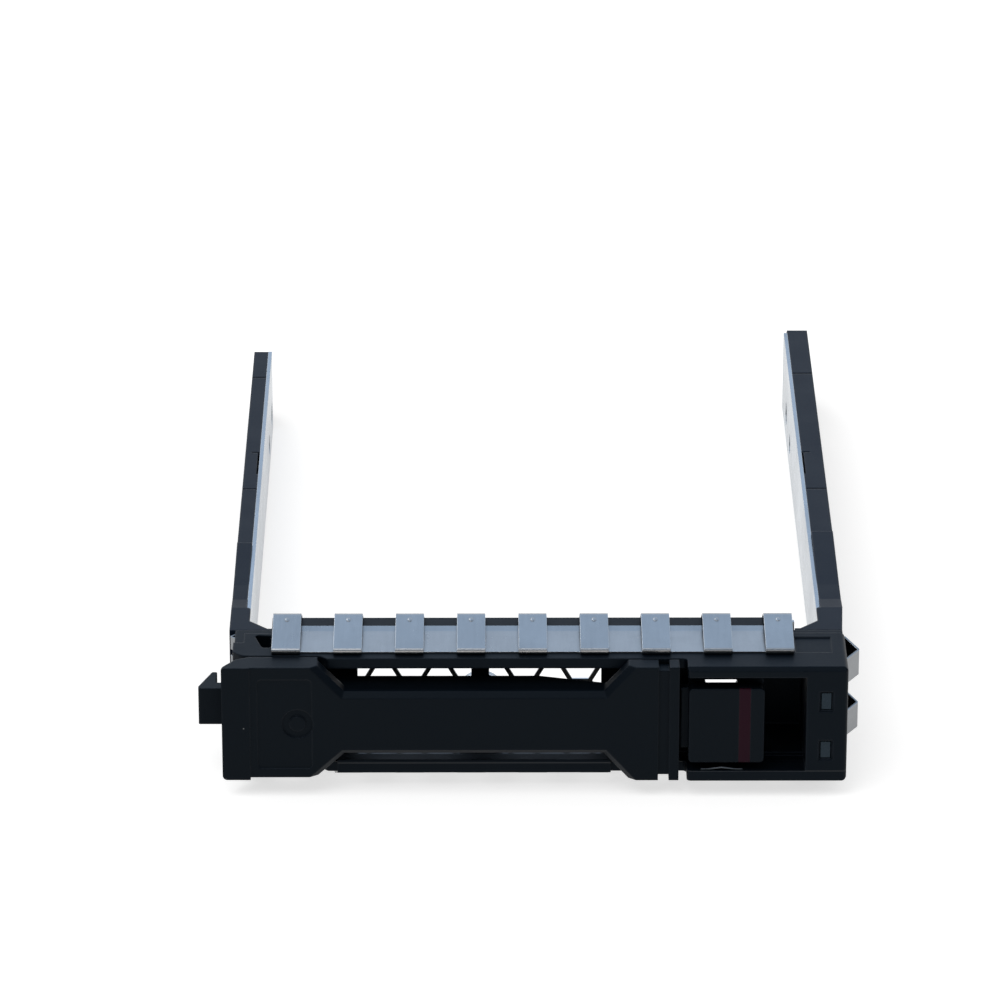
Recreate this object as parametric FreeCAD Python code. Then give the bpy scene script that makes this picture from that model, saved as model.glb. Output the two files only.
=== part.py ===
import FreeCAD, Part
import math
import os

Vec = FreeCAD.Vector
UP = Vec(0, 0, 1)
BACK = Vec(0, 1, 0)
RIGHT = Vec(1, 0, 0)

# Hot swap tray for a 2.5 inch drive. X runs to the right across the bezel, Y runs back into the
# server and Z is up. Everything is drawn from the middle of the bezel's lower front edge, and
# moved at the end so that the origin is under the middle of the whole tray.

# The drive that the tray carries, in millimetres like all the rest
drive_width = 69.85
drive_length = 100.2
drive_play = 0.1
screw_pitch = 76.6
screw_from_connector = 14.0
screw_rise = 3.0
screw_hole_r = 1.6
countersink_r = 2.35
countersink_depth = 0.2

# Bezel and moulded front frame
bezel_past_drive = 2.975
bezel_height = 15.1
frame_depth = 14.7
wall = 1.3
panel = 1.3
corner_r = 0.5
walls_front = 2.8
lip_front = 2.35
lip_height = 1.7
lip_past_bar = 0.9
column_width = 5.0
window_left = 18.5
edge_r = 0.6
top_bevel = 0.45
left_inset = 1.25
boss_past_pivot = 1.9
open_left = 2.5
ledge_front = 10.2
corner_pocket = 0.15
pocket_inboard = 4.0
corner_pocket_y = 6.75
corner_pocket_size = 4.4
hub_opening = ((0.4, 4.1), (2.65, 3.9), (2.7, 0.4), (1.5, 0.4))
latch_rib_left = 17.3
latch_rib_width = 1.6

# Steel sheet that makes the rear wall and both arms
steel = 0.5
bend_run = 2.5
sheet_bend_r = 0.8
wall_trim = 0.6
emboss = 0.2
stake_head = 0.2
stake_r = 1.96
stake_shank_r = 1.3
stake_hole_play = 0.05
pad_width = 4.6
pad_low = 2.4
pad_below_top = 1.9
stake_low = 4.75
stake_high = 11.0
stake_x = (28.9, 11.4)
boss_x = -6.5
boss_r = 2.9
long_pad_x = -24.6
long_pad_width = 4.3
window_low = 3.5
window_below_top = 3.2
windows = ((14.4, 25.7), (-5.5, 8.3), (-21.7, -7.7))
square_hole_x = -29.5
square_hole_width = 2.5
square_hole_height = 3.7
square_hole_low = 3.4
square_hole_pitch = 4.9
tongue_reach = 8.4
tongue_root = 7.2
tongue_tip = 2.9
tongue_back = 5.9
spare_hole_ahead = 10.6
spare_hole_r = 1.4

left_bend_low = 4.2
left_bend_high = 11.0
tongue_droop = 0.6

# Honeycomb sheet between the frame's rear panel and the steel wall
vent_sheet = 0.3
vent_border = 0.6
cell_flats = 3.45
cell_pitch = 4.0
cell_columns = 15
cell_rows = 3
cell_first_x = 26.52
cell_middle_z = 8.66

# Plastic runners
rail_low = 2.0
rail_height = 11.0
right_rail_width = 2.75
left_rail_width = 1.9
right_past_screw = 13.2
left_past_screw = 8.6
left_slope_run = 4.5
left_slope_drop = 3.0
screw_access_r = 2.8
head_back = 21.4
head_ramp = 3.3
head_rise = 0.4
swell_front = 29.0
right_swell_back = 44.5
left_swell_back = 41.1
swell_rise = 0.45
right_grooves = (59.0, 98.0)
left_grooves = (59.0, 96.7)
groove_width = 0.25
groove_depth = 0.2
slot_place = 71.0
slot_length = 7.0
slot_width = 1.1
support_reach = 2.3
support_length = 2.5
support_height = 1.3
support_gap = 0.5
end_chamfer = 1.0
end_recess_depth = 1.6
end_recess_height = 3.4

# Finger strips above and below the frame
leaf = 0.2
finger_count = 9
finger_pitch = 7.49
finger_width = 3.45
finger_shift = -0.2
strip_ahead = 10.3
strip_short = 4.2
fold_ahead = 10.8
hem_length = 0.8
hem_rise = 0.3
fold_rise = 0.65
fold_r = 0.27
crest_ahead = 2.7
crest_rise = 1.65
crest_r = 1.5
spine_height = 1.2
scallop_r = 2.0
scallop_depth = 0.5

# Grounding springs on the sides of the frame
side_leaf = 0.25
side_reach = 1.8
side_crest_back = 10.4
side_foot_back = 14.2
side_root_front = 5.9
side_root_back = 8.0
side_bump_height = 3.3
side_bump_low = 2.35
side_bump_pitch = 7.1
left_bump_reach = 0.7
left_bump_height = 1.7
left_bump_low = 9.0
left_bump_pitch = 2.5
left_bump_length = 1.9
left_bump_inset = 0.3
play_behind = 0.3

# Ejector lever
pivot_inboard = 3.3
pivot_y = 5.6
pin_r = 0.75
pin_fit = 0.02
pin_play = 0.06
pin_inset = 0.3
hub_r = 1.8
moving_gap = 0.3
lever_skin = 2.5
strip_width = 3.4
strip_corner_r = 0.3
side_slant = ((0, 0.3), (1.65, 2.6), (3.4, 3.4))
left_low = 0.45
strip_drop = 0.3
face_step = 0.15
field_inset = 0.9
field_low = 1.6
field_depth = 0.15
left_block_depth = 3.35
left_block_width = 11.6
slope_run = 3.2
bar_end = 8.4
right_block_start = 11.4
lever_end = 17.5
bar_low = 3.4
bar_chamfer = 0.7
bar_depth = 5.2
bar_tip_depth = 3.2
bar_taper_start = 0.5
groove_start = 15.0
groove_end = 16.3
end_groove_depth = 0.6
catch_front = 3.4
catch_back = 4.6
catch_short = 0.05
mark_inboard = 9.15
mark_outer_r = 1.9
mark_inner_r = 1.0
mark_depth = 0.25
claw_low = 5.2
claw_height = 4.8
claw_front = 5.2
claw_arm_back = 6.9
claw_past_bezel = 3.04
claw_flat = 0.6
claw_tip_back = 9.9
claw_tip_past = 1.5
claw_tip_width = 0.62
spring_coil_r = 1.45
spring_wire_r = 0.17
spring_turns = 4.5
spring_coil_pitch = 0.5
spring_leg = 4.6
spring_post_r = 0.6
hub_low = 4.6

# Latch button with its stripe, return spring and leaf
button_left = 18.7
button_width = 9.1
button_low = 2.4
button_height = 9.8
button_front = 0.2
button_cap = 2.0
button_corner_r = 0.5
neck_low = 3.6
neck_height = 6.6
slot_left = 20.7
slot_span = 3.9
slot_low = 10.7
slot_high = 12.1
button_back = 5.2
guide_front = 3.2
guide_groove = 0.5
guide_play = 0.1
stripe_left = 24.75
stripe_width = 1.4
stripe_depth = 0.4
hook_front = 2.0
hook_back = 3.1
hook_height = 4.0
seat_left = 19.2
seat_width = 1.2
seat_back = 9.0
seat_height = 3.2
return_coil_r = 1.2
return_wire_r = 0.14
return_turns = 5
return_axis_y = 7.2
return_length = 5.6
stop_width = 1.2
clip_left = 20.2
clip_length = 5.1
clip_rise = 0.25
clip_front = 0.3
clip_width = 1.8

# Light pipes from the bezel to the rear end of the right runner
lens_inboard = 2.6
lens_width = 1.2
lens_height = 2.15
lens_inset = 0.3
lens_back = 2.5
lens_frame = 0.27
lens_frame_depth = 0.3
lens_low_z = 4.05
lens_high_z = 10.55
pipe_width = 1.2
pipe_height = 1.4
pipe_play = 0.1
pipe_bend_front = 5.0
pipe_bend_back = 17.0
pipe_end_size = 2.1
pipe_end_length = 2.5
pipe_end_inset = 0.2
pipe_over_screw = 0.3

# How far a cut runs on past the surface that it opens
past = 1.3

# Places worked out from the sizes above
half = drive_width / 2 + bezel_past_drive
left_side = half - left_inset
column_left = half - column_width
corner_pocket_x = half - pocket_inboard
lens_x = half - lens_inboard
pivot_x = pivot_inboard - half
strip_end = strip_width - half
field_left = strip_end + field_inset
left_block_end = left_block_width - half
bar_start = left_block_end + slope_run
mark_x = mark_inboard - half
claw_reach = half + claw_past_bezel
claw_tip_outer = half + claw_tip_past
claw_tip_inner = claw_tip_outer - claw_tip_width
window_high = bezel_height - window_below_top
pad_high = bezel_height - pad_below_top
middle_z = bezel_height / 2
arm_inner = drive_width / 2 + drive_play
arm_outer = arm_inner + steel
wall_rear = frame_depth + steel
rail_top = rail_low + rail_height
head_top = rail_top + head_rise
head_low = rail_low - head_rise
sheet_line = arm_inner + steel / 2
plate_half = sheet_line - bend_run - sheet_bend_r
corner_start = plate_half + 2 * stake_hole_play
drive_front = wall_rear + emboss + stake_head + drive_play
screw_back_y = drive_front + drive_length - screw_from_connector
screw_front_y = screw_back_y - screw_pitch
screw_z = rail_low + steel + screw_rise
right_rail_end = screw_back_y + right_past_screw
left_rail_end = screw_back_y + left_past_screw
right_rail_outer = arm_outer + right_rail_width
left_rail_outer = arm_outer + left_rail_width
tip_r = (pivot_y - left_block_depth) - moving_gap
catch_end = lever_end - catch_short
button_right = button_left + button_width
button_high = button_low + button_height
strip_front = frame_depth - strip_ahead
strip_back = frame_depth - strip_short
fold_front = frame_depth - fold_ahead
crest_back = frame_depth - crest_ahead
spine_low = bezel_height - wall_trim - spine_height
left_bump_back = frame_depth - left_bump_inset
left_bump_front = left_bump_back - left_bump_length


def block(x, y, z):
    """A box between a pair of limits on each axis."""
    return Part.makeBox(x[1] - x[0], y[1] - y[0], z[1] - z[0], Vec(x[0], y[0], z[0]))


def unit(vector):
    return vector * (1 / vector.Length)


def corner(before, at, after, radius):
    """Start, middle and end of the arc that rounds one corner of a line."""
    one = unit(before - at)
    two = unit(after - at)
    inward = unit(one + two)
    half_angle = one.getAngle(two) / 2
    reach = radius / math.tan(half_angle)
    deep = radius / math.sin(half_angle) - radius
    return at + one * reach, at + inward * deep, at + two * reach


def rounded_line(points, radii):
    """Edges along an open line, with an arc of the given radius at each inner point."""
    edges = []
    start = points[0]
    for before, at, after, radius in zip(points, points[1:], points[2:], radii):
        first, middle, last = corner(before, at, after, radius)
        edges.append(Part.LineSegment(start, first).toShape())
        edges.append(Part.Arc(first, middle, last).toShape())
        start = last
    edges.append(Part.LineSegment(start, points[-1]).toShape())
    return edges


def prism(points, way, radii=None):
    """A closed outline pushed along a vector. A radius of 0 leaves that corner sharp."""
    edges = []
    ends = []
    count = len(points)
    for i, at in enumerate(points):
        radius = radii[i] if radii else 0
        if radius:
            first, middle, last = corner(points[i - 1], at, points[(i + 1) % count], radius)
            edges.append((first, middle, last))
            ends.append((first, last))
        else:
            edges.append(None)
            ends.append((at, at))
    wire = []
    for i in range(count):
        if edges[i]:
            wire.append(Part.Arc(*edges[i]).toShape())
        start = ends[i][1]
        stop = ends[(i + 1) % count][0]
        if (stop - start).Length > 1e-6:
            wire.append(Part.LineSegment(start, stop).toShape())
    return Part.Face(Part.Wire(Part.__sortEdges__(wire))).extrude(way)


def bent_strip(points, radii, thickness, way):
    """A sheet bent along a line in the plane square to way, and as wide as way is long."""
    normal = unit(way)
    sides = []
    for distance in (thickness / 2, -thickness / 2):
        line = []
        turns = []
        for i, point in enumerate(points):
            ways = [unit(b - a) for a, b in zip(points[max(i - 1, 0):i + 1], points[max(i, 1):i + 2])]
            if i == 0 or i == len(points) - 1:
                across = ways[0].cross(normal)
            else:
                one = ways[0].cross(normal)
                two = ways[1].cross(normal)
                across = (one + two) * (1 / (1 + one.dot(two)))
                turns.append(1 if ways[0].cross(ways[1]).dot(normal) > 0 else -1)
            line.append(point + across * distance)
        sides.append((line, [r + distance * turn for r, turn in zip(radii, turns)]))
    edges = []
    for line, side_radii in sides:
        edges += rounded_line(line, side_radii)
    edges.append(Part.LineSegment(sides[0][0][0], sides[1][0][0]).toShape())
    edges.append(Part.LineSegment(sides[0][0][-1], sides[1][0][-1]).toShape())
    return Part.Face(Part.Wire(Part.__sortEdges__(edges))).extrude(way)


def post(x, z, radius, y):
    """A round post along Y between two limits."""
    return Part.makeCylinder(radius, y[1] - y[0], Vec(x, y[0], z), BACK)


def upright(x, y, radius, z):
    """A round post along Z between two limits."""
    return Part.makeCylinder(radius, z[1] - z[0], Vec(x, y, z[0]), UP)


def oval(x, width, y, z):
    """A pad with round upper and lower ends, along Y between two limits."""
    radius = width / 2
    middle = block((x - radius, x + radius), y, (z[0] + radius, z[1] - radius))
    ends = [post(x, z[0] + radius, radius, y), post(x, z[1] - radius, radius, y)]
    return middle.multiFuse(ends).removeSplitter()


def coil(centre, way, radius, wire_r, pitch, turns):
    """Round wire wound about an axis that starts at centre and points along way, in tilted half turns."""
    halves = []
    for i in range(round(2 * turns)):
        onward = BACK * (-1) ** i
        start = Vec(radius * (-1) ** i, 0, pitch / 2 * i)
        stop = Vec(-start.x, 0, pitch / 2 * (i + 1))
        disc = Part.Face(Part.Wire([Part.makeCircle(wire_r, start, onward)]))
        halves.append(disc.revolve((start + stop) * 0.5, (start - stop).cross(onward), 180))
    solid = halves[0].multiFuse(halves[1:]).removeSplitter()
    solid.Placement = FreeCAD.Placement(centre, FreeCAD.Rotation(UP, way))
    return solid


def stakes():
    """Where the round plastic posts pass through the steel wall."""
    places = [(x, z) for x in stake_x for z in (stake_low, stake_high)]
    return places + [(boss_x, stake_low)]


def wall_outline(z, height):
    """The plan of the frame's upper and lower walls, cut back around the lever's pivot."""
    slant = tip_r * math.sqrt(0.5)
    rim = pivot_y - tip_r
    step = left_block_end + moving_gap
    left_cut = pivot_y - slant + (left_side + pivot_x - slant)
    edges = rounded_line([
        Vec(pivot_x - slant, pivot_y - slant, z),
        Vec(-left_side, left_cut, z),
        Vec(-left_side, frame_depth, z),
        Vec(half, frame_depth, z),
        Vec(half, 0, z),
        Vec(window_left, 0, z),
        Vec(window_left, walls_front, z),
        Vec(step + rim - walls_front, walls_front, z),
        Vec(step, rim, z),
        Vec(pivot_x, rim, z),
    ], [corner_r, corner_r, corner_r, corner_r, corner_r, corner_r, corner_r, corner_r])
    middle = Vec(pivot_x - tip_r * math.sin(math.pi / 8), pivot_y - tip_r * math.cos(math.pi / 8), z)
    edges.append(Part.Arc(Vec(pivot_x, rim, z), middle, Vec(pivot_x - slant, pivot_y - slant, z)).toShape())
    return Part.Face(Part.Wire(Part.__sortEdges__(edges))).extrude(UP * height)


def vent_plate():
    """Thin steel sheet with six-sided cells in staggered columns, flat side up."""
    sheet = vent_space((frame_depth - vent_sheet, frame_depth))
    through = (0, 2 * frame_depth)
    cuts = honeycomb(through)
    cuts += [post(x, z, stake_shank_r + stake_hole_play, through) for x, z in stakes()]
    return sheet.cut(Part.makeCompound(cuts)).removeSplitter()


def vent_space(y):
    """The room that the honeycomb sheet takes behind all three windows."""
    left = min(x[0] for x in windows) - vent_border
    right = max(x[1] for x in windows) + vent_border
    return block((left, right), y, (window_low - vent_border, window_high + vent_border))


def honeycomb(y):
    """The cells that lie inside the windows, cut off at each window's edge."""
    opening = []
    for x in windows:
        corners = [Vec(x[0], y[0], window_low), Vec(x[1], y[0], window_low), Vec(x[1], y[0], window_high),
                   Vec(x[0], y[0], window_high)]
        opening.append(prism(corners, BACK * (y[1] - y[0]), [corner_r] * 4))
    open_cells = Part.makeCompound(cells(y)).common(Part.makeCompound(opening))
    return open_cells.cut(post(boss_x, stake_low, boss_r, y)).Solids


def cells(y):
    """Every whole cell of the pattern, between two limits of Y."""
    spacing = cell_pitch * math.sqrt(3) / 2
    radius = cell_flats / math.sqrt(3)
    found = []
    for column in range(cell_columns):
        x = cell_first_x - column * spacing
        rows = cell_rows + column % 2
        for row in range(rows):
            z = cell_middle_z + (row - (rows - 1) / 2) * cell_pitch
            angles = [math.pi / 3 * i for i in range(6)]
            ring = [Vec(x + radius * math.cos(a), y[0], z + radius * math.sin(a)) for a in angles]
            found.append(prism(ring, BACK * (y[1] - y[0])))
    return found


def pipe_line_x():
    """Where both light pipes run inside the right runner."""
    return arm_outer + right_rail_width / 2


def light_pipe(lens_z, run_z, play):
    """A clear bar from a bezel window back along the right runner. With play it is its channel."""
    run_x = pipe_line_x()
    clear_front = screw_front_y - screw_access_r - pipe_over_screw
    clear_back = screw_back_y + screw_access_r + pipe_over_screw
    block_start = right_rail_end - pipe_end_length
    exit_y = right_rail_end - pipe_end_inset
    front_y = lens_inset
    if play:
        exit_y = right_rail_end + past
        front_y = -past
    sections = (
        (front_y, lens_x, lens_z, lens_width, lens_height),
        (lens_back, lens_x, lens_z, lens_width, lens_height),
        (pipe_bend_front, lens_x, lens_z, pipe_width, pipe_height),
        (frame_depth, lens_x + (run_x - lens_x) * (frame_depth - pipe_bend_front)
         / (pipe_bend_back - pipe_bend_front), lens_z, pipe_width, pipe_height),
        (pipe_bend_back, run_x, lens_z + (run_z - lens_z) * (pipe_bend_back - frame_depth)
         / (clear_front - frame_depth), pipe_width, pipe_height),
        (clear_front, run_x, run_z, pipe_width, pipe_height),
        (clear_back, run_x, run_z, pipe_width, pipe_height),
        (block_start, run_x, lens_z, pipe_width, pipe_height),
        (block_start - play, run_x, lens_z, pipe_end_size, pipe_end_size),
        (exit_y, run_x, lens_z, pipe_end_size, pipe_end_size),
    )
    rings = []
    for y, x, z, width, height in sections:
        w = width / 2 + play
        h = height / 2 + play
        around = [Vec(x - w, y, z - h), Vec(x + w, y, z - h), Vec(x + w, y, z + h), Vec(x - w, y, z + h)]
        rings.append(Part.makePolygon(around + around[:1]))
    bar = Part.makeLoft(rings[:8], True, True)
    return bar.fuse(Part.makeLoft(rings[8:], True, True)).removeSplitter()


def pipe_runs():
    """Window height and height along the runner, for the lower and the upper pipe."""
    over = screw_z + screw_access_r + pipe_over_screw + pipe_height / 2
    return {"lower": (lens_low_z, over), "upper": (lens_high_z, over + pipe_height + 2 * pipe_play + pipe_over_screw)}


def front_frame():
    inner = (wall, bezel_height - wall)
    solid = wall_outline(0, wall).multiFuse([
        wall_outline(bezel_height - wall, wall),
        block((-left_side, half), (frame_depth - panel, frame_depth), inner),
        prism([Vec(column_left, 0, wall), Vec(half, 0, wall), Vec(half, frame_depth, wall),
               Vec(column_left, frame_depth, wall)], UP * (inner[1] - inner[0]), [0, corner_r, 0, 0]),
        block((-left_side, -left_side + wall), (left_bump_front - play_behind, frame_depth), inner),
        upright(pivot_x + spring_leg, pivot_y + spring_coil_r + spring_wire_r + spring_post_r, spring_post_r,
                (wall / 2, hub_low - moving_gap)),
        block((bar_start - lip_past_bar, bar_end + lip_past_bar), (lip_front, walls_front + wall), (0, lip_height)),
        block((stop_start(), stop_start() + stop_width), (button_back + 2 * guide_play, seat_back),
              (wall / 2, middle_z + seat_height / 2)),
        block((latch_rib_left, latch_rib_left + latch_rib_width),
              (button_back + 3 * guide_play, frame_depth - panel / 2), inner),
    ]).removeSplitter()
    rim = [Vec(-half, 0, 0), Vec(half, 0, 0), Vec(half, 0, bezel_height), Vec(-half, 0, bezel_height)]
    solid = solid.common(prism(rim, BACK * frame_depth, [edge_r] * 4))
    # Both upper rear corners drop to a ledge, level with the webs of the runners
    for x in ((-left_side, -corner_start), (corner_start, half)):
        riser = block(x, (ledge_front - wall, ledge_front), (head_top - wall, bezel_height - wall / 2))
        ledge = block(x, (ledge_front - wall, frame_depth), (head_top - wall, head_top))
        solid = solid.multiFuse([riser, ledge])
        solid = solid.cut(block((x[0] - past, x[1] + past) if x[0] > 0 else (x[0] - past, x[1]),
                                (ledge_front, frame_depth + past), (head_top, bezel_height + past)))
    # Openings behind the windows, and the recess that the honeycomb sheet lies in
    behind = [block(x, (frame_depth - 2 * panel, frame_depth), (window_low, window_high)) for x in windows]
    behind.append(vent_space((frame_depth - vent_sheet, frame_depth + vent_sheet)))
    solid = solid.cut(Part.makeCompound(behind))
    # Posts and one long pad, which pass through the steel wall and are headed over
    outer = wall_rear + emboss
    for x, z in stakes():
        solid = solid.fuse(post(x, z, stake_shank_r, (frame_depth - panel / 2, outer)))
        solid = solid.fuse(post(x, z, stake_r, (outer, outer + stake_head)))
    long_pad = oval(long_pad_x, long_pad_width, (frame_depth - panel / 2, outer + stake_head), (pad_low, pad_high))
    # Grooves that the latch slides in, and the rim of each light window
    cuts = []
    guide = (guide_front - guide_play, button_back + guide_play)
    low = wall - guide_groove
    cuts.append(block((window_left - corner_r, column_left), guide, (low, bezel_height - low)))
    for lens_z, run_z in pipe_runs().values():
        cuts.append(light_pipe(lens_z, run_z, pipe_play))
        rim_x = lens_width / 2 + lens_frame
        rim_z = lens_height / 2 + lens_frame
        cuts.append(block((lens_x - rim_x, lens_x + rim_x), (-past, lens_frame_depth), (lens_z - rim_z, lens_z + rim_z)))
    # Seats of the side springs, a shallow pocket on the corner, and the holes for the lever's pin
    bumps = side_bump_pitch + side_bump_height
    seat = (side_bump_low, side_bump_low + bumps)
    cuts.append(block((half - side_leaf, half + past), (side_root_front, side_root_back), seat))
    seat = (left_bump_low, left_bump_low + left_bump_pitch + left_bump_height)
    cuts.append(block((-left_side - past, -left_side + leaf), (left_bump_front, left_bump_back), seat))
    # The upper wall stops short on the left, behind the boss that holds the lever's pin
    cuts.append(block((-left_side - past, open_left - half), (pivot_y + boss_past_pivot, ledge_front + past),
                      (bezel_height - wall, bezel_height + past)))
    bevel = [Vec(window_left - past, -past, bezel_height - top_bevel - past),
             Vec(window_left - past, top_bevel + past, bezel_height + past),
             Vec(window_left - past, -past, bezel_height + past)]
    cuts.append(prism(bevel, RIGHT * 2 * half))
    pocket = corner_pocket_size / 2
    cuts.append(block((corner_pocket_x - pocket, corner_pocket_x + pocket),
                      (corner_pocket_y - pocket, corner_pocket_y + pocket),
                      (bezel_height - corner_pocket, bezel_height + past)))
    cuts.append(upright(pivot_x, pivot_y, pin_r + pin_fit, (pin_inset, bezel_height - pin_inset)))
    top = [Vec(pivot_x + x, pivot_y + y, bezel_height - 2 * wall) for x, y in hub_opening]
    cuts.append(prism(top, UP * 3 * wall, [corner_r] * 4))
    return solid.cut(Part.makeCompound(cuts)).fuse(long_pad).removeSplitter()


def steel_carrier():
    line = frame_depth + steel / 2
    run = [
        Vec(-sheet_line, left_rail_end - left_slope_run, rail_low),
        Vec(-sheet_line, line + bend_run, rail_low),
        Vec(-sheet_line + bend_run, line, rail_low),
        Vec(sheet_line - bend_run, line, rail_low),
        Vec(sheet_line, line + bend_run, rail_low),
        Vec(sheet_line, right_rail_end - pipe_end_length, rail_low),
    ]
    solid = bent_strip(run, [sheet_bend_r] * 4, steel, UP * rail_height)
    plate = (wall_trim, bezel_height - wall_trim)
    sheet = (frame_depth, wall_rear)
    raised = (frame_depth, wall_rear + emboss)
    solid = solid.fuse(block((-plate_half, plate_half), sheet, plate))
    solid = solid.cut(Part.makeCompound([block(x, (0, frame_depth * 2), (window_low, window_high)) for x in windows]))
    # Raised pads round the posts
    for x in stake_x:
        solid = solid.fuse(oval(x, pad_width, raised, (pad_low, pad_high)))
    solid = solid.fuse(post(boss_x, stake_low, boss_r, raised))
    cuts = [post(x, z, stake_shank_r + stake_hole_play, (0, frame_depth * 2)) for x, z in stakes()]
    play = stake_hole_play
    cuts.append(oval(long_pad_x, long_pad_width + 2 * play, (0, frame_depth * 2), (pad_low - play, pad_high + play)))
    hole = square_hole_width / 2
    for i in range(2):
        low = square_hole_low + i * square_hole_pitch
        cuts.append(block((square_hole_x - hole, square_hole_x + hole), (0, frame_depth * 2),
                          (low, low + square_hole_height)))
    bend = (-sheet_line + steel, -sheet_line + bend_run - steel)
    cuts.append(block(bend, (frame_depth, line + bend_run), (left_bend_low, left_bend_high)))
    # Countersunk holes for the drive's screws, and one spare hole in each arm
    for side in (-1, 1):
        for y in (screw_front_y, screw_back_y):
            inside = Vec(side * (arm_inner - steel), y, screw_z)
            cuts.append(Part.makeCylinder(screw_hole_r, 3 * steel, inside, RIGHT * side))
            outside = Vec(side * (arm_outer - countersink_depth), y, screw_z)
            cuts.append(Part.makeCone(screw_hole_r, countersink_r, countersink_depth, outside, RIGHT * side))
        inside = Vec(side * (arm_inner - steel), screw_back_y - spare_hole_ahead, screw_z)
        cuts.append(Part.makeCylinder(spare_hole_r, 3 * steel, inside, RIGHT * side))
    solid = solid.cut(Part.makeCompound(cuts))
    # A tongue folded inwards under the drive from the lower edge of each arm
    back = wall_rear + tongue_back
    middle = back + tongue_root / 2
    for side in (-1, 1):
        tip = side * (arm_inner - tongue_reach)
        round_tip = tongue_tip * 0.45
        plan = prism([
            Vec(side * arm_outer, back, 0),
            Vec(side * (arm_inner - steel), back, 0),
            Vec(tip, middle - tongue_tip / 2, 0),
            Vec(tip, middle + tongue_tip / 2, 0),
            Vec(side * (arm_inner - steel), back + tongue_root, 0),
            Vec(side * arm_outer, back + tongue_root, 0),
        ], UP * rail_top, [0, 0, round_tip, round_tip, 0, 0])
        level = rail_low + steel / 2
        bow = [
            Vec(side * arm_outer, back, level),
            Vec(side * (arm_inner - tongue_reach / 3), back, level),
            Vec(tip, back, level - tongue_droop),
        ]
        leaf_sheet = bent_strip(bow, [2 * tongue_reach], steel, BACK * tongue_root)
        solid = solid.fuse(leaf_sheet.common(plan))
    return solid.removeSplitter()


def rail_profile(end, drop, swell_back):
    """Side view of a runner: a head a little taller than the rest, a shallow swell and the rear end."""
    low = rail_low
    top = rail_top
    corners = [
        (frame_depth, head_low), (head_back, head_low), (head_back + head_ramp, low), (swell_front, low),
        (swell_back, low - swell_rise), (swell_back, low), (end, low),
        (end, top - drop), (end - drop * left_slope_run / left_slope_drop, top), (swell_back, top),
        (swell_back, top + swell_rise), (swell_front, top), (head_back + head_ramp, top),
        (head_back, head_top), (frame_depth, head_top),
    ]
    radii = [0, edge_r, edge_r, 0, 0, 0, corner_r, edge_r, edge_r, 0, 0, 0, edge_r, edge_r, 0]
    return [Vec(0, y, z) for y, z in corners], radii


def rail(side, width, end, drop, swell_back, grooves):
    """A runner with its head, the webs over the sheet's bend and the nib under the drive."""
    outer = arm_outer + width
    points, radii = rail_profile(end, drop, swell_back)
    solid = prism(points, RIGHT * width, radii).translated(RIGHT * (arm_outer if side > 0 else -outer))
    # The outer face starts flush with the frame and steps out behind the head
    if outer > half:
        wedge = [Vec(half, frame_depth, 0), Vec(outer, head_back, 0), Vec(outer, frame_depth, 0)]
        solid = solid.cut(prism(wedge, UP * bezel_height))
    flange = [
        Vec(side * (arm_outer + steel), frame_depth, 0),
        Vec(side * corner_start, frame_depth, 0),
        Vec(side * corner_start, wall_rear, 0),
        Vec(side * (sheet_line - bend_run), wall_rear, 0),
        Vec(side * arm_inner, frame_depth + steel / 2 + bend_run, 0),
        Vec(side * arm_inner, head_back, 0),
        Vec(side * (arm_outer + steel), head_back, 0),
    ]
    web = prism(flange, UP * head_rise, [0, 0, 0, 0, corner_r, corner_r, 0])
    upper = web.translated(UP * rail_top)
    solid = solid.multiFuse([web.translated(UP * head_low), upper, rail_support(side)])
    cuts = []
    for y in (screw_front_y, screw_back_y):
        inside = Vec(side * (arm_outer - steel), y, screw_z)
        cuts.append(Part.makeCylinder(screw_access_r, outer, inside, RIGHT * side))
    for y in grooves:
        cuts.append(block((-outer * 2, outer * 2), (y, y + groove_width), (rail_top - groove_depth, rail_top + past)))
    x = sorted((side * (arm_outer - steel), side * (arm_outer + slot_width)))
    cuts.append(block(x, (slot_place, slot_place + groove_width), (rail_top - groove_depth, rail_top + past)))
    x = sorted((side * (arm_outer - steel), side * (arm_outer + groove_width)))
    cuts.append(block(x, (slot_place - slot_length, slot_place), (rail_top - slot_width, rail_top + past)))
    x = sorted((side * arm_inner, side * arm_outer))
    cuts.append(block(x, (frame_depth, right_rail_end), (rail_low, rail_top)))
    return solid.cut(Part.makeCompound(cuts)).removeSplitter()


def rail_support(side):
    """The rounded nib on which the front of the drive rests, moulded on the runner."""
    start = wall_rear + bend_run + support_gap
    top = rail_low + steel
    tip = side * (arm_inner - support_reach)
    round_r = support_length * 0.4
    return prism([
        Vec(side * (arm_outer + steel), start, top - support_height),
        Vec(tip, start, top - support_height),
        Vec(tip, start + support_length, top - support_height),
        Vec(side * (arm_outer + steel), start + support_length, top - support_height),
    ], UP * support_height, [0, round_r, round_r, 0])


def right_rail():
    solid = rail(1, right_rail_width, right_rail_end, end_chamfer, right_swell_back, right_grooves)
    cuts = [light_pipe(lens_z, run_z, pipe_play) for lens_z, run_z in pipe_runs().values()]
    middle = rail_low + rail_height / 2
    recess = (middle - end_recess_height / 2, middle + end_recess_height / 2)
    wide = pipe_end_size / 2
    x = (pipe_line_x() - wide, pipe_line_x() + wide)
    cuts.append(block(x, (right_rail_end - end_recess_depth, right_rail_end + past), recess))
    return solid.cut(Part.makeCompound(cuts)).removeSplitter()


def left_rail():
    return rail(-1, left_rail_width, left_rail_end, left_slope_drop, left_swell_back, left_grooves)


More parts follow.
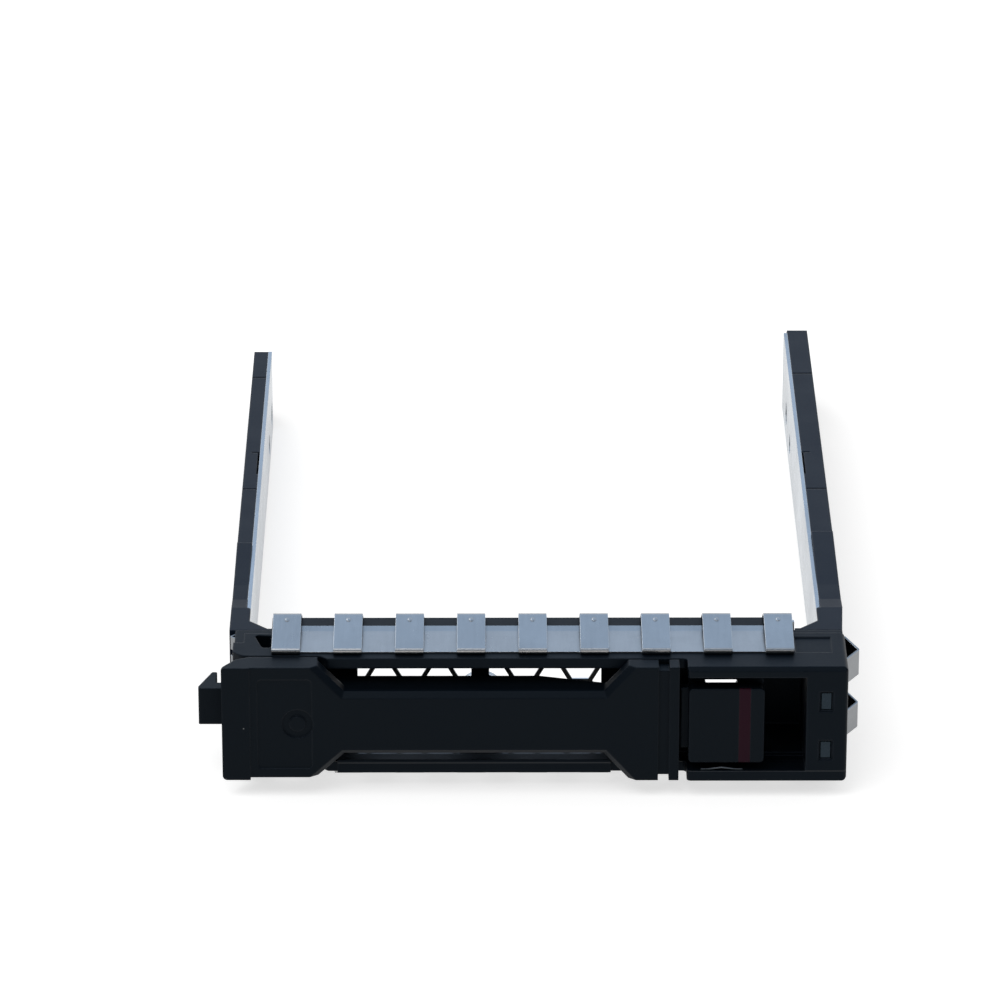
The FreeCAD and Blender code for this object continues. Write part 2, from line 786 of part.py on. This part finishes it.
def finger_strip():
    """The upper strip of springy fingers. The lower one is its mirror image."""
    top = bezel_height + leaf / 2
    span = finger_pitch * (finger_count - 1) / 2 + finger_width / 2
    left = finger_shift - span
    right = finger_shift + span
    rear = wall_rear + leaf / 2
    solid = block((left, right), (strip_front, strip_back), (bezel_height, bezel_height + leaf))
    spine_top = bezel_height - wall_trim
    solid = solid.fuse(block((left, right), (wall_rear, wall_rear + leaf), (spine_low, spine_top)))
    hem = [Vec(left, strip_back - hem_length, top), Vec(left, strip_back, top),
           Vec(left, strip_back + hem_length, top + hem_rise)]
    solid = solid.fuse(bent_strip(hem, [hem_length], leaf, RIGHT * (right - left)))
    profile = [
        (strip_back, top),
        (fold_front, top),
        (fold_front, top + fold_rise),
        (crest_back, top + crest_rise),
        (rear, top - leaf / 2),
        (rear, spine_low),
    ]
    radii = [fold_r, fold_r, crest_r, 2 * fold_r]
    for i in range(finger_count):
        start = left + i * finger_pitch
        line = [Vec(start, y, z) for y, z in profile]
        solid = solid.fuse(bent_strip(line, radii, leaf, RIGHT * finger_width))
    cuts = []
    for i in range(finger_count - 1):
        x = left + finger_width + i * finger_pitch + (finger_pitch - finger_width) / 2
        cuts.append(post(x, spine_low - scallop_r + scallop_depth, scallop_r, (frame_depth, 2 * frame_depth)))
    return solid.cut(Part.makeCompound(cuts)).removeSplitter()


def right_side_spring():
    inner = half - side_leaf / 2
    low = side_bump_low
    high = low + side_bump_pitch + side_bump_height
    turn = side_root_back - 3 * side_leaf
    solid = block((half - side_leaf, half), (side_root_front, turn), (low, high))
    line = [
        (inner, side_root_front),
        (inner, turn),
        (half + side_reach, side_crest_back),
        (half + side_leaf, side_foot_back),
    ]
    for i in range(2):
        z = low + i * side_bump_pitch
        path = [Vec(x, y, z) for x, y in line]
        solid = solid.fuse(bent_strip(path, [side_leaf, side_leaf * 1.5], side_leaf, UP * side_bump_height))
    return solid.removeSplitter()


def left_side_spring():
    inner = -left_side + leaf / 2
    low = left_bump_low
    high = low + left_bump_pitch + left_bump_height
    flat = 2 * leaf
    middle = (left_bump_front + left_bump_back) / 2
    solid = block((-left_side, -left_side + leaf), (left_bump_front, left_bump_front + flat), (low, high))
    line = [
        (inner, left_bump_front),
        (inner, left_bump_front + flat),
        (inner - left_bump_reach, middle),
        (inner, left_bump_back - flat),
        (inner, left_bump_back),
    ]
    for i in range(2):
        z = low + i * left_bump_pitch
        path = [Vec(x, y, z) for x, y in line]
        solid = solid.fuse(bent_strip(path, [leaf, leaf, leaf], leaf, UP * left_bump_height))
    return solid.removeSplitter()


def lever():
    high = bezel_height
    bar_high = high - bar_low
    inside = (wall + moving_gap, high - wall - moving_gap)
    # Front skin, full height at both ends and narrow in the middle
    outline = [
        (strip_end, left_low), (left_block_end, left_low), (bar_start, bar_low), (bar_end, bar_low), (right_block_start, 0),
        (lever_end, 0), (lever_end, high), (right_block_start, high), (bar_end, bar_high),
        (bar_start, bar_high), (left_block_end, high), (strip_end, high),
    ]
    skin = prism([Vec(x, face_step, z) for x, z in outline], BACK * (lever_skin - face_step))
    # Slanted edges round both notches of the front
    notch = [e for e in skin.Edges if e.BoundBox.YMax < face_step + 1e-6 and bar_edge(e)]
    skin = skin.makeChamfer(bar_chamfer, notch)
    strip_low = left_low - strip_drop
    strip = [(-half, strip_low), (strip_end, strip_low), (strip_end, high), (-half, high)]
    solid = skin.multiFuse([
        prism([Vec(x, 0, z) for x, z in strip], BACK * left_block_depth, [edge_r, 0, 0, strip_corner_r]),
        block((strip_end, left_block_end), (lever_skin / 2, left_block_depth), (left_low, high)),
    ])
    # The side of the block slants back towards the pivot
    slanted = [Vec(x - half, y, strip_low - past) for x, y in side_slant]
    slanted.append(Vec(-half - past, side_slant[-1][1], strip_low - past))
    slanted.append(Vec(-half - past, side_slant[0][1], strip_low - past))
    solid = solid.cut(prism(slanted, UP * (high + 2 * past)))
    # Bar behind the skin, thinner towards the latch
    solid = solid.fuse(prism([
        Vec(left_block_end - corner_r, face_step + bar_chamfer, bar_low),
        Vec(right_block_start, face_step + bar_chamfer, bar_low),
        Vec(right_block_start, bar_tip_depth, bar_low),
        Vec(bar_end, bar_tip_depth, bar_low),
        Vec(bar_taper_start, bar_depth, bar_low),
        Vec(left_block_end - corner_r, bar_depth, bar_low),
    ], UP * (bar_high - bar_low)))
    # Inner block at the latch end, with the catch that the latch holds
    solid = solid.fuse(block((right_block_start - 1, groove_start + corner_r), (corner_r, catch_back), inside))
    solid = solid.fuse(block((groove_start, catch_end), (catch_front, catch_back),
                             (middle_z - hook_height, middle_z + hook_height)))
    # Groove before the end strip, and a plain ring in place of a mark
    solid = solid.cut(block((groove_start, groove_end), (-past, end_groove_depth), (-past, high + past)))
    notches = (-past, end_groove_depth), (high - end_groove_depth, high + past)
    for z in notches:
        solid = solid.cut(block((groove_start, groove_end), (-past, lever_skin + past), z))
    floor = face_step + field_depth
    field = prism([
        Vec(field_left, -past, field_low),
        Vec(left_block_end - bar_chamfer, -past, field_low),
        Vec(left_block_end - bar_chamfer, -past, high - field_low),
        Vec(field_left, -past, high - field_low),
    ], BACK * (past + floor), [corner_r] * 4)
    ring = post(mark_x, middle_z, mark_outer_r, (-past, floor + mark_depth))
    solid = solid.cut(field).cut(ring.cut(post(mark_x, middle_z, mark_inner_r, (-2 * past, floor + 2 * past))))
    # Hub on the pivot, and the claw that levers against the server
    hub = upright(pivot_x, pivot_y, hub_r, (hub_low, inside[1]))
    neck = block((pivot_x - hub_r, pivot_x + hub_r), (left_block_depth / 2, pivot_y), (hub_low, inside[1]))
    claw = prism([
        Vec(pivot_x, claw_front, claw_low),
        Vec(-claw_reach, claw_front, claw_low),
        Vec(-claw_reach, claw_front + claw_flat, claw_low),
        Vec(-claw_tip_outer, claw_tip_back, claw_low),
        Vec(-claw_tip_inner, claw_tip_back, claw_low),
        Vec(-claw_tip_inner, claw_arm_back, claw_low),
        Vec(pivot_x, claw_arm_back, claw_low),
    ], UP * claw_height, [0, 0.25, 0.25, 0.25, 0.25, 0.25, 0])
    solid = solid.multiFuse([hub, neck, claw])
    solid = solid.cut(upright(pivot_x, pivot_y, pin_r + pin_play, (-past, high + past)))
    return solid.removeSplitter()


def bar_edge(edge):
    """Whether an edge of the lever's front belongs to the bar or its slopes."""
    box = edge.BoundBox
    inside = box.XMin > left_block_end - 1e-6 and box.XMax < right_block_start + 1e-6
    return inside and box.ZMin < bezel_height - 1e-6 and box.ZMax > 1e-6


def lever_pin():
    return upright(pivot_x, pivot_y, pin_r, (pin_inset, bezel_height - pin_inset))


def lever_spring():
    """Torsion spring round the pin, one leg on the lever and one on the frame's post."""
    low = wall + spring_wire_r
    high = low + spring_coil_pitch * spring_turns
    wound = coil(Vec(0, 0, 0), UP, spring_coil_r, spring_wire_r, spring_coil_pitch, spring_turns)
    wound.rotate(Vec(0, 0, 0), UP, 90)
    wound.translate(Vec(pivot_x, pivot_y, low))
    back = Vec(pivot_x, pivot_y + spring_coil_r, low)
    front = Vec(pivot_x, pivot_y - spring_coil_r, high)
    legs = [Part.makeCylinder(spring_wire_r, spring_leg, end, RIGHT) for end in (back, front)]
    return wound.multiFuse(legs).removeSplitter()


def latch_button():
    left, right = button_left, button_right
    low, high = button_low, button_high
    face = [Vec(left, button_front, low), Vec(right, button_front, low), Vec(right, button_front, high),
            Vec(left, button_front, high)]
    solid = prism(face, BACK * button_cap, [button_corner_r] * 4)
    groove_low = wall - guide_groove + guide_play
    plate = block((left, right), (guide_front, button_back), (groove_low, bezel_height - groove_low))
    slot = block((slot_left, slot_left + slot_span), (guide_front, button_back), (slot_low, slot_high))
    neck = block((left + corner_r, right - corner_r), (button_front + corner_r, button_back),
                 (neck_low, neck_low + neck_height))
    hook = block((catch_end + moving_gap, left + corner_r), (hook_front, hook_back),
                 (middle_z - hook_height, middle_z + hook_height))
    seat = block((seat_left, seat_left + seat_width), (button_back - corner_r, seat_back),
                 (middle_z - seat_height / 2, middle_z + seat_height / 2))
    return solid.multiFuse([plate.cut(slot), neck, hook, seat]).cut(latch_stripe()).removeSplitter()


def stop_start():
    """Left face of the frame's stop, against which the return spring pushes."""
    return seat_left + seat_width + return_length


def latch_stripe():
    return block((stripe_left, stripe_left + stripe_width), (button_front, button_front + stripe_depth),
                 (button_low, button_high))


def latch_spring():
    start = seat_left + seat_width + return_wire_r
    stop = stop_start() - return_wire_r
    pitch = (stop - start) / return_turns
    centre = Vec(start, return_axis_y, middle_z)
    return coil(centre, RIGHT, return_coil_r, return_wire_r, pitch, return_turns)


def latch_clip():
    """A small bowed leaf on the frame's sill, which steadies the button from below."""
    sill = wall + leaf / 2
    foot = clip_length / 6
    line = [
        Vec(clip_left, clip_front, sill),
        Vec(clip_left + foot, clip_front, sill),
        Vec(clip_left + clip_length / 2, clip_front, sill + clip_rise),
        Vec(clip_left + clip_length - foot, clip_front, sill),
        Vec(clip_left + clip_length, clip_front, sill),
    ]
    return bent_strip(line, [foot, 2 * foot, foot], leaf, BACK * clip_width)


upper_strip = finger_strip()
runs = pipe_runs()
pieces = {
    "front_frame": front_frame(),
    "vent_plate": vent_plate(),
    "steel_carrier": steel_carrier(),
    "left_rail": left_rail(),
    "right_rail": right_rail(),
    "top_gasket": upper_strip,
    "bottom_gasket": upper_strip.mirror(Vec(0, 0, middle_z), UP),
    "left_side_spring": left_side_spring(),
    "right_side_spring": right_side_spring(),
    "lever": lever(),
    "lever_pin": lever_pin(),
    "lever_spring": lever_spring(),
    "latch_button": latch_button(),
    "latch_stripe": latch_stripe(),
    "latch_spring": latch_spring(),
    "latch_clip": latch_clip(),
    "light_pipe_upper": light_pipe(runs["upper"][0], runs["upper"][1], 0),
    "light_pipe_lower": light_pipe(runs["lower"][0], runs["lower"][1], 0),
}

# The origin goes under the middle of everything, at the height of the lower finger crests
bounds = Part.makeCompound(list(pieces.values())).optimalBoundingBox()
shift = Vec(-(bounds.XMin + bounds.XMax) / 2, -(bounds.YMin + bounds.YMax) / 2, -bounds.ZMin)
print("shift", shift)
os.makedirs("parts", exist_ok=True)
for node, shape in pieces.items():
    placed = shape.translated(shift)
    if not placed.isValid() or len(placed.Solids) != 1:
        print("check", node, placed.isValid(), len(placed.Solids))
    placed.exportStep("parts/" + node + ".step")
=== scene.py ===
import math

import bmesh
import bpy
from mathutils import Matrix, Vector
from mathutils.bvhtree import BVHTree


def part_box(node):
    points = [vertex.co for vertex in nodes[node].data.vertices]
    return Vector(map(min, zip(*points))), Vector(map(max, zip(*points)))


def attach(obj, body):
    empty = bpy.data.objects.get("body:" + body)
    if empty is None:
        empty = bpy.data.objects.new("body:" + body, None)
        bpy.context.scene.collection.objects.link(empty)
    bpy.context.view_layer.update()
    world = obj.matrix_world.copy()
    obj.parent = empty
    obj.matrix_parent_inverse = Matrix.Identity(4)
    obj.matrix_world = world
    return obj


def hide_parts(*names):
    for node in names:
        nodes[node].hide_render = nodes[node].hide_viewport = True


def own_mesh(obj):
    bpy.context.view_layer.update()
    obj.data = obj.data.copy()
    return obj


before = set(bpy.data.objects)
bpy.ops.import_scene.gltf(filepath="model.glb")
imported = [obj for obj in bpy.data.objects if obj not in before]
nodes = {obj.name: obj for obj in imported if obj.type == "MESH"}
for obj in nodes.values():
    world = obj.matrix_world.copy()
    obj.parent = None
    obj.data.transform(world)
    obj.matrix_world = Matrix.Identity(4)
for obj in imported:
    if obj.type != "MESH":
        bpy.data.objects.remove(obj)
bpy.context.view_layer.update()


# Front frame: black glass-filled plastic, injection moulded in one piece with a spark-eroded grain.
# Its posts pass through the steel wall and are headed over behind it.


class Wire:
    """A socket in a finish's nodes. Arithmetic on wires adds Math nodes."""

    def __init__(self, tree, socket=None):
        self.tree = tree
        self.socket = socket

    def node(self, kind, settings=None, sockets=None, out=0):
        """Adds one node: its settings first, then the values or wires of its sockets."""
        made = self.tree.nodes.new("ShaderNode" + kind)
        for name, value in (settings or {}).items():
            if name == "stops":
                ramp = made.color_ramp.elements
                while len(ramp) < len(value):
                    ramp.new(1)
                for stop, (place, shade) in zip(ramp, value):
                    stop.position = place
                    stop.color = (shade, shade, shade, 1)
            else:
                setattr(made, name, value)
        for name, value in (sockets or {}).items():
            if isinstance(value, Wire):
                self.tree.links.new(value.socket, made.inputs[name])
            else:
                made.inputs[name].default_value = value
        return Wire(self.tree, made.outputs[out])

    def maths(self, operation, one, two):
        return self.node("Math", {"operation": operation}, {0: one, 1: two})

    def __add__(self, other):
        return self.maths("ADD", self, other)

    def __mul__(self, other):
        return self.maths("MULTIPLY", self, other)

    def __sub__(self, other):
        return self.maths("SUBTRACT", self, other)

    def __rsub__(self, other):
        return self.maths("SUBTRACT", other, self)

    def __gt__(self, other):
        return self.maths("GREATER_THAN", self, other)

    __radd__ = __add__
    __rmul__ = __mul__

    def between(self, low, high):
        """0 below low, 1 above high, and even in between."""
        sockets = {"Value": self, "From Min": low, "From Max": high}
        return self.node("MapRange", {"clamp": True}, sockets)

    def colour(self, dark, light):
        """The colour at this share of the way from one to the other."""
        colours = {0: self, 6: dark, 7: light}
        colours = {n: (*c, 1) if isinstance(c, tuple) else c for n, c in colours.items()}
        return self.node("Mix", {"data_type": "RGBA"}, colours, out=2)


def new_finish(name):
    """An empty material, a wire to add its nodes with, and its shader's sockets."""
    finish = bpy.data.materials.new(name)
    finish.use_nodes = True
    tree = finish.node_tree
    return finish, Wire(tree), tree.nodes["Principled BSDF"].inputs


def connect(wire, socket):
    wire.tree.links.new(wire.socket, socket)


def edges_of(wires, radius):
    """The normal with its edges rounded, and how near an edge a point is."""
    rounded = wires.node("Bevel", {"samples": 6}, {"Radius": radius})
    flat = wires.node("NewGeometry", out="Normal")
    same = wires.node("VectorMath", {"operation": "DOT_PRODUCT"}, {0: rounded, 1: flat}, out="Value")
    return rounded, 1 - same


def moulded(name, body, worn, roughness, grain_depth, polish=None):
    """Black moulded plastic: fine spark grain, cloudy sheen, pale rubbed edges and a few dust specks.

    Level faces at the height named by polish come from a polished part of the mould."""
    finish, wires, shader = new_finish(name)
    place = wires.node("TexCoord", out="Object")
    cloud = wires.node("TexNoise", {}, {"Vector": place, "Scale": 140.0, "Detail": 4.0})
    spark = wires.node("TexNoise", {}, {"Vector": place, "Scale": 4200.0, "Detail": 3.0, "Roughness": 0.6})
    specks = wires.node("TexVoronoi", {}, {"Vector": place, "Scale": 380.0}, out="Distance")
    rounded, edge = edges_of(wires, 0.0003)
    rubbed = (edge * cloud).between(0.02, 0.16)
    dust = (0.045 - specks).between(0.0, 0.02) * (cloud > 0.56)
    tone = cloud.colour(tuple(0.8 * c for c in body), tuple(1.25 * c for c in body))
    tone = (rubbed * 0.55).colour(tone, worn)
    connect((dust * 0.5).colour(tone, (0.30, 0.31, 0.32)), shader["Base Color"])
    connect((cloud - 0.5) * 0.16 + (spark - 0.5) * 0.12 + rubbed * -0.12 + roughness, shader["Roughness"])
    sockets = {"Strength": 0.5, "Distance": grain_depth, "Height": spark, "Normal": rounded}
    connect(wires.node("Bump", {}, sockets), shader["Normal"])
    if polish:
        level = wires.node("SeparateXYZ", {}, {"Vector": place}, out="Z")
        hair = 0.00005
        near = (level > polish - hair) - (level > polish + hair)
        connect(near * 0.65, shader["Coat Weight"])
        shader["Coat Roughness"].default_value = 0.1
    shader["Specular IOR Level"].default_value = 0.12
    shader["Specular Tint"].default_value = (0.62, 0.76, 0.90, 1)
    return finish


def dress(finish, *names):
    """Gives the finish to pieces that are carried over from the frame."""
    for name in names:
        for place in nodes[name].material_slots:
            place.material = finish


floor_thickness = 0.0013
duct_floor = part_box("front_frame")[0].z + floor_thickness
frame_black, frame_rubbed = (0.0012, 0.0027, 0.0048), (0.020, 0.026, 0.036)
frame_plastic = moulded("frame plastic", frame_black, frame_rubbed, 0.46, 0.000016, duct_floor)
dress(frame_plastic, "front_frame")


# Steel carrier and honeycomb sheet: zinc coated sheet, blanked and folded. The rolling grain runs
# along the sheet, and the blanked edges are bare and brighter. The posts of the frame hold both.


def rolled_steel(name, metal, bright, roughness, grain, marks=1.0, shaded_front=False):
    """Cold rolled steel: fine lines along the sheet, cloudy oxide and bright cut edges.

    marks is how strongly the rolling and handling show. The front flag puts painted shade on the side
    towards the bezel:
    near black and not metallic, for the dark duct in front of it."""
    finish, wires, shader = new_finish(name)
    place = wires.node("TexCoord", out="Object")
    along = wires.node("Mapping", {}, {"Vector": place, "Scale": grain})
    lines = wires.node("TexNoise", {}, {"Vector": along, "Scale": 1.0, "Detail": 5.0, "Roughness": 0.7})
    cloud = wires.node("TexNoise", {}, {"Vector": place, "Scale": 95.0, "Detail": 5.0, "Roughness": 0.6})
    handled = wires.node("TexNoise", {}, {"Vector": place, "Scale": 620.0, "Detail": 4.0})
    rounded, edge = edges_of(wires, 0.00012)
    cut = edge.between(0.02, 0.2)
    stain = cloud.between(0.35, 0.72)
    tone = stain.colour(tuple(0.80 * c for c in metal), metal)
    tone = (lines.between(0.3, 0.7) * 0.35).colour(tone, tuple(1.12 * c for c in metal))
    tone = (cut * 0.7).colour(tone, bright)
    if shaded_front:
        facing = wires.node("SeparateXYZ", {}, {"Vector": wires.node("NewGeometry", out="Normal")}, out="Y")
        # Painted shade: faces towards the bezel are made near black and not metallic, for the dark duct in
        # front of them.
        painted = facing * -1 > 0.5
        tone = painted.colour(tone, (0.004, 0.005, 0.007))
        connect(1 - painted, shader["Metallic"])
    else:
        shader["Metallic"].default_value = 1.0
    connect(tone, shader["Base Color"])
    uneven = (lines - 0.5) * 0.14 + (handled - 0.5) * 0.10 - stain * 0.06
    connect(roughness + uneven * marks, shader["Roughness"])
    sockets = {"Strength": 0.2 * marks, "Distance": 0.000004, "Height": lines, "Normal": rounded}
    connect(wires.node("Bump", {}, sockets), shader["Normal"])
    return finish


sheet_grain = (160.0, 160.0, 9000.0)
sheet_steel = rolled_steel("zinc coated sheet", (0.42, 0.455, 0.49), (0.68, 0.69, 0.70), 0.30, sheet_grain)
dress(sheet_steel, "steel_carrier")
vent_zinc, vent_cut = (0.62, 0.63, 0.64), (0.70, 0.70, 0.70)
# The honeycomb sheet gets painted shade on its side towards the bezel.
vent_steel = rolled_steel("vent sheet", vent_zinc, vent_cut, 0.34, sheet_grain, shaded_front=True)
dress(vent_steel, "vent_plate")


# Runners: the same black plastic as the frame, a little smoother and rubbed by the bay's guides. Each
# is moulded in one piece, with round holes through which the drive's screws are reached.

runner_black, runner_rubbed = (0.0014, 0.0038, 0.0100), (0.026, 0.034, 0.046)
runner_plastic = moulded("runner plastic", runner_black, runner_rubbed, 0.42, 0.000014)
dress(runner_plastic, "left_rail", "right_rail")


# Finger strips: thin stainless spring steel, blanked, folded over at the front and hooked on the
# steel wall at the back. Each finger has one small pressed dimple.

finger_metal, finger_cut = (0.405, 0.405, 0.405), (0.70, 0.71, 0.72)
finger_grain = (1800.0, 150.0, 150.0)
spring_steel = rolled_steel("finger strip steel", finger_metal, finger_cut, 0.27, finger_grain, 0.35)
dress(spring_steel, "top_gasket", "bottom_gasket")


def new_piece(name, mesh, finish, body):
    """A piece of this script's own, which moves with a body of the frame."""
    data = bpy.data.meshes.new(name)
    mesh.to_mesh(data)
    mesh.free()
    data.materials.append(finish)
    data.shade_smooth()
    piece = bpy.data.objects.new(name, data)
    bpy.context.scene.collection.objects.link(piece)
    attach(piece, body)
    return piece


fingers = 9
finger_pitch = 0.00749
first_finger = 0.001725
dimple_back = 0.0105
dimple_length, dimple_width, dimple_rise = 0.0009, 0.0006, 0.00013
inside, well_outside = 0.01, 0.03
for strip, up in (("top_gasket", 1), ("bottom_gasket", -1)):
    strip_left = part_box(strip)[0].x
    skin = BVHTree.FromObject(nodes[strip], bpy.context.evaluated_depsgraph_get())
    mesh = bmesh.new()
    for finger in range(fingers):
        x = strip_left + first_finger + finger * finger_pitch
        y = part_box("front_frame")[0].y + dimple_back
        start = Vector((x, y, inside + up * well_outside))
        spot, normal, _, _ = skin.ray_cast(start, Vector((0, 0, -up)))
        dome = bmesh.ops.create_uvsphere(mesh, u_segments=16, v_segments=8, radius=0.5)
        turn = Vector((0, 0, 1)).rotation_difference(normal).to_matrix().to_4x4()
        size = Matrix.Diagonal((dimple_width, dimple_length, 2 * dimple_rise, 1))
        bmesh.ops.transform(mesh, matrix=Matrix.Translation(spot) @ turn @ size, verts=dome["verts"])
    new_piece(strip.replace("gasket", "dimples"), mesh, spring_steel, "carrier")


# Side springs, pin and wound springs: bright spring wire and strip. The leaf below the button is spring
# steel whose dark colour is painted shade, for the shadow of the recess it lies in.

wire_grain = (900.0, 900.0, 2600.0)
side_steel = rolled_steel("side spring steel", (0.24, 0.25, 0.26), (0.60, 0.61, 0.62), 0.26, wire_grain, 0.6)
dress(side_steel, "left_side_spring", "right_side_spring")
wire_steel = rolled_steel("bright spring wire", (0.42, 0.43, 0.44), (0.72, 0.73, 0.74), 0.26, wire_grain)
dress(wire_steel, "lever_pin", "lever_spring")
# Painted shade: the leaf's steel and edge colours are dark because it lies in the shadow of the recess.
leaf_shade, leaf_shade_edge = (0.07, 0.08, 0.09), (0.12, 0.13, 0.14)
shaded_leaf_steel = rolled_steel("shaded leaf steel", leaf_shade, leaf_shade_edge, 0.34, wire_grain, 0.6)
dress(shaded_leaf_steel, "latch_clip")


# Return spring: wire wound between the button's seat and a stop on the frame. It is pressed together
# towards the stop as the button slides.

mesh = bmesh.new()
mesh.from_mesh(nodes["latch_spring"].data)
return_coil = new_piece("return_coil", mesh, wire_steel, "carrier")
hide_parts("latch_spring")
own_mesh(return_coil)


# Lever and release button: black mouldings with a finer grain than the frame's. The lever turns on
# the steel pin, and the button slides in grooves of the frame.

lever_plastic = moulded("lever plastic", (0.0012, 0.0025, 0.0042), (0.016, 0.021, 0.029), 0.46, 0.000012)
dress(lever_plastic, "lever", "latch_button")


# Stripe in the button: dark red plastic, set into a groove of the button and level with its face. It
# marks the side to push.

stripe_finish = moulded("stripe plastic", (0.0160, 0.0010, 0.0050), (0.04, 0.012, 0.018), 0.44, 0.00001)
dress(stripe_finish, "latch_stripe")


# Light pipes: clear acrylic bars with frosted ends, laid in channels of the frame and of the right
# runner. They look dark grey while no lamp is lit behind them.

clear_finish, wires, shader = new_finish("clear acrylic")
place = wires.node("TexCoord", out="Object")
frost = wires.node("TexNoise", {}, {"Vector": place, "Scale": 2600.0, "Detail": 3.0})
haze = wires.node("TexNoise", {}, {"Vector": place, "Scale": 300.0, "Detail": 2.0})
rounded, edge = edges_of(wires, 0.0001)
connect(haze.colour((0.006, 0.011, 0.015), (0.012, 0.019, 0.025)), shader["Base Color"])
shader["Specular IOR Level"].default_value = 0.3
connect(frost * 0.2 + 0.16, shader["Roughness"])
sockets = {"Strength": 0.3, "Distance": 0.00001, "Height": frost, "Normal": rounded}
connect(wires.node("Bump", {}, sockets), shader["Normal"])
shader["Specular Tint"].default_value = (0.6, 0.8, 1.0, 1)
shader["Transmission Weight"].default_value = 0.04
shader["IOR"].default_value = 1.49
dress(clear_finish, "light_pipe_upper", "light_pipe_lower")


# Floor: a plain white board. The tray rests on it with the lower fingers and the ends of its
# runners, so in the tray's own frame the board rises a little towards the back.

touch_front = Vector((0, -0.0455, 0.0))
touch_back = Vector((0, 0.0575, 0.0038))
board_half = 3.0
rise = math.atan2(touch_back.z - touch_front.z, touch_back.y - touch_front.y)
board_mesh = bpy.data.meshes.new("board")
turns = ((-1, -1), (1, -1), (1, 1), (-1, 1))
board_mesh.from_pydata([(x * board_half, y * board_half, 0) for x, y in turns], [], [(0, 1, 2, 3)])
board = bpy.data.objects.new("board", board_mesh)
bpy.context.scene.collection.objects.link(board)
board.location = touch_front
board.rotation_euler = (rise, 0, 0)
board_finish, wires, shader = new_finish("white board")
shader["Roughness"].default_value = 0.9
shader["Specular IOR Level"].default_value = 0.0
shader["Base Color"].default_value = (0.6, 0.6, 0.6, 1)
seen = wires.node("LightPath", out="Is Camera Ray")
mirrored = wires.node("LightPath", out="Is Glossy Ray")
seen_through = wires.node("LightPath", out="Is Transmission Ray")
shown = seen + mirrored + seen_through
glow = wires.node("Emission", {}, {"Color": (1, 1, 1, 1), "Strength": shown.between(0.0, 1.0) * 0.62})
principled = Wire(wires.tree, wires.tree.nodes["Principled BSDF"].outputs[0])
surface = wires.node("AddShader", {}, {0: principled, 1: glow})
connect(surface, wires.tree.nodes["Material Output"].inputs["Surface"])
board_mesh.materials.append(board_finish)


# Studio: a white room, whose reflection is dimmer behind the viewer and a little blue overhead, a broad
# soft lamp over the front and a weaker one from the back left.

world = bpy.data.worlds.new("studio")
bpy.context.scene.world = world
world.use_nodes = True
room = Wire(world.node_tree)
way = room.node("TexCoord", out="Generated")
height = room.node("SeparateXYZ", {}, {"Vector": way}, out="Z")
overhead = height.between(0.05, 0.5)
ahead = room.node("SeparateXYZ", {}, {"Vector": way}, out="Y").between(-0.2, 0.3)
camera_ray = room.node("LightPath", out="Is Camera Ray")
glossy_ray = room.node("LightPath", out="Is Glossy Ray")
clear_ray = room.node("LightPath", out="Is Transmission Ray")
tint = (overhead * glossy_ray).colour((1.0, 1.0, 1.0), (0.59, 0.79, 1.07))
white = (camera_ray + clear_ray).between(0.0, 1.0)
strength = white + (1 - white) * (glossy_ray * (0.4 + ahead * 0.6) + (1 - glossy_ray) * 0.62)
connect(white.colour(tint, (1.0, 1.0, 1.0)), world.node_tree.nodes["Background"].inputs["Color"])
connect(strength, world.node_tree.nodes["Background"].inputs["Strength"])

for name, spot, size, power in (
    ("key lamp", (-0.25, -0.35, 0.75), 0.6, 2.2),
    ("back lamp", (-0.45, 0.65, 0.55), 0.5, 1.1),
):
    lamp = bpy.data.lights.new(name, "AREA")
    lamp.shape = "DISK"
    lamp.size = size
    lamp.energy = power
    holder = bpy.data.objects.new(name, lamp)
    bpy.context.scene.collection.objects.link(holder)
    holder.location = spot
    holder.rotation_euler = (-Vector(spot)).to_track_quat("-Z", "Y").to_euler()


# Camera: a long lens in front of the bezel, looking down on the tray. Its focal length is given in
# widths of the picture, and reach is its distance from look_at.

down = math.radians(23.64)
aside = 0.0024
reach = 0.806535
focal_length = 6.2176
look_at = Vector((-0.003476, 0.00245, 0.012831))
forward = Vector((math.sin(aside) * math.cos(down), math.cos(aside) * math.cos(down), -math.sin(down)))
camera_data = bpy.data.cameras.new("camera")
camera_data.sensor_width = 36.0
camera_data.lens = focal_length * camera_data.sensor_width
camera = bpy.data.objects.new("camera", camera_data)
bpy.context.scene.collection.objects.link(camera)
camera.location = look_at - forward * reach
camera.rotation_euler = (math.pi / 2 - down, 0, -aside)
bpy.context.scene.camera = camera
bpy.context.scene.view_settings.view_transform = "Standard"
